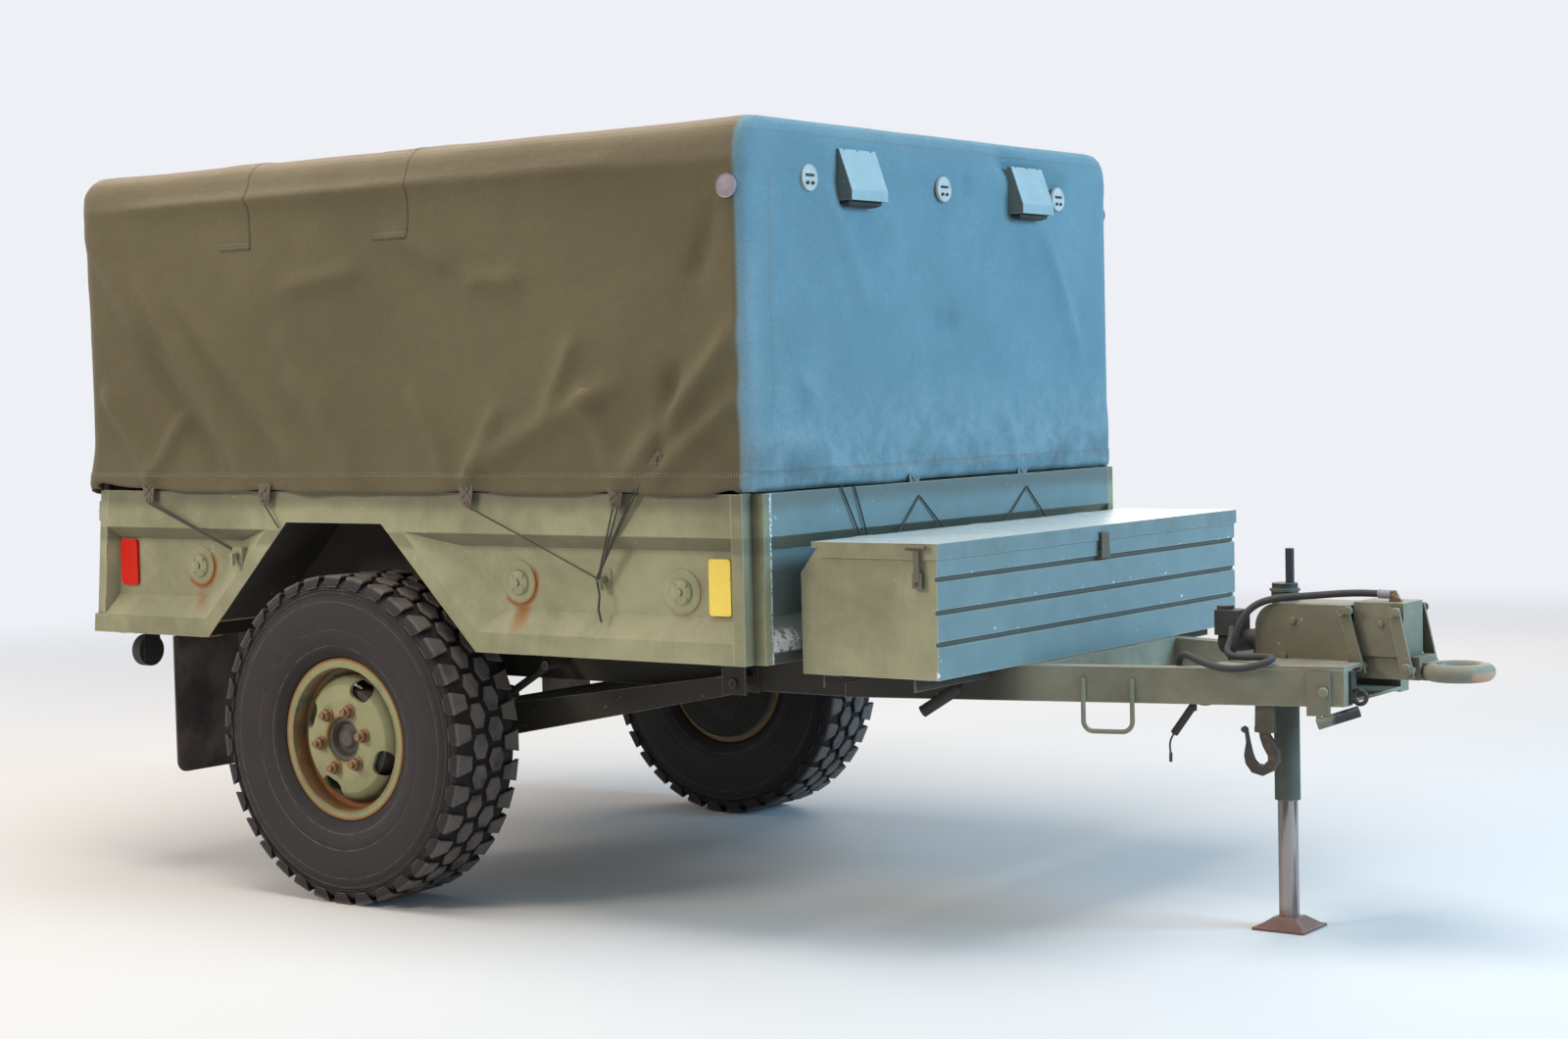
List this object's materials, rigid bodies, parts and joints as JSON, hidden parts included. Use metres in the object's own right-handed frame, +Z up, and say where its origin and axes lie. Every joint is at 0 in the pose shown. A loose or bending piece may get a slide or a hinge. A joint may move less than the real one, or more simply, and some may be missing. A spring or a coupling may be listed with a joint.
{
  "type": "covered military cargo trailer with front toolbox",
  "caption": "Single-axle military utility trailer with a pressed-steel body, canvas cover on bows, front toolbox, A-frame drawbar, towing eye and jack.",
  "frame": {"origin": "bottom centre of the overall box, on the ground midway between the towing eye's tip and the tailgate's foot", "axes": "+X forward to the towing eye, +Y to the left, +Z up"},
  "size_m": [4.031, 2.0068, 2.08],
  "materials": {
    "olive_paint": "semi-matt olive drab paint, scuffed to pale primer and rust at the edges",
    "chassis_paint": "matt olive drab paint with road dust",
    "canvas": "waxed cotton duck, faded and creased",
    "tyre_rubber": "weathered black rubber with dust in the tread",
    "black_rubber": "black moulded rubber",
    "dark_steel": "bare dark steel with light rust",
    "worn_steel": "worn steel, bare on the inside of the ring",
    "reflector_plastic": "moulded reflector plastic, red behind and amber ahead",
    "black_plastic": "black moulded plastic",
    "webbing": "olive webbing"
  },
  "bodies": {
    "chassis": {"axle_beam": "chassis_paint", "trailing_arms": "chassis_paint", "rubber_springs": "black_rubber", "shock_absorbers": "chassis_paint", "side_rails": "chassis_paint", "cross_members": "chassis_paint", "floor_bearers": "chassis_paint", "drawbar_beam_right": "chassis_paint", "drawbar_beam_left": "chassis_paint", "drawbar_ties": "chassis_paint", "grab_loops": "chassis_paint", "coupling_housing": "chassis_paint", "drawbar_link": "chassis_paint", "towing_eye": "worn_steel", "safety_hook": "dark_steel", "safety_shackle": "dark_steel", "trailer_plug": "black_plastic", "electric_cable": "black_rubber", "brake_pull_sleeve": "black_rubber", "brake_pull_cable": "dark_steel", "jack_outer_tube": "chassis_paint", "side_panel_right": "olive_paint", "side_panel_left": "olive_paint", "front_panel": "olive_paint", "corner_posts": "olive_paint", "floor_panel": "olive_paint", "wheel_housings": "olive_paint", "tailgate_fittings": "olive_paint", "tail_lights": "black_plastic", "side_fittings": "olive_paint", "side_reflectors": "reflector_plastic", "mud_flaps": "black_rubber", "canvas_cover": "canvas", "canvas_bows": "chassis_paint", "canvas_vents": "olive_paint", "toolbox_body": "olive_paint", "toolbox_hinges": "olive_paint", "toolbox_latches": "dark_steel"},
    "wheel_right": {"tyre_right": "tyre_rubber", "rim_right": "olive_paint", "hub_right": "chassis_paint"},
    "wheel_left": {"tyre_left": "tyre_rubber", "rim_left": "olive_paint", "hub_left": "chassis_paint"},
    "jack_leg": {"jack_leg": "dark_steel"},
    "tailgate": {"tailgate": "olive_paint"},
    "toolbox_lid": {"toolbox_lid": "olive_paint"}
  },
  "joints": [
    {"name": "wheel_right_spin", "type": "hinge", "parent": "chassis", "child": "wheel_right", "pos_m": [-0.9125, -0.875, 0.4575], "axis": [0, 1, 0], "continuous": true},
    {"name": "wheel_left_spin", "type": "hinge", "parent": "chassis", "child": "wheel_left", "pos_m": [-0.9125, 0.875, 0.4575], "axis": [0, 1, 0], "continuous": true},
    {"name": "jack_slide", "type": "slide", "parent": "chassis", "child": "jack_leg", "axis": [0, 0, 1], "range_m": [0, 0.29]},
    {"name": "tailgate_hinge", "type": "hinge", "parent": "chassis", "child": "tailgate", "pos_m": [-1.9915, 0, 0.702], "axis": [0, -1, 0], "range_deg": [0, 170]},
    {"name": "toolbox_lid_hinge", "type": "hinge", "parent": "chassis", "child": "toolbox_lid", "pos_m": [0.5615, 0, 1.014], "axis": [0, -1, 0], "range_deg": [0, 95]}
  ]
}
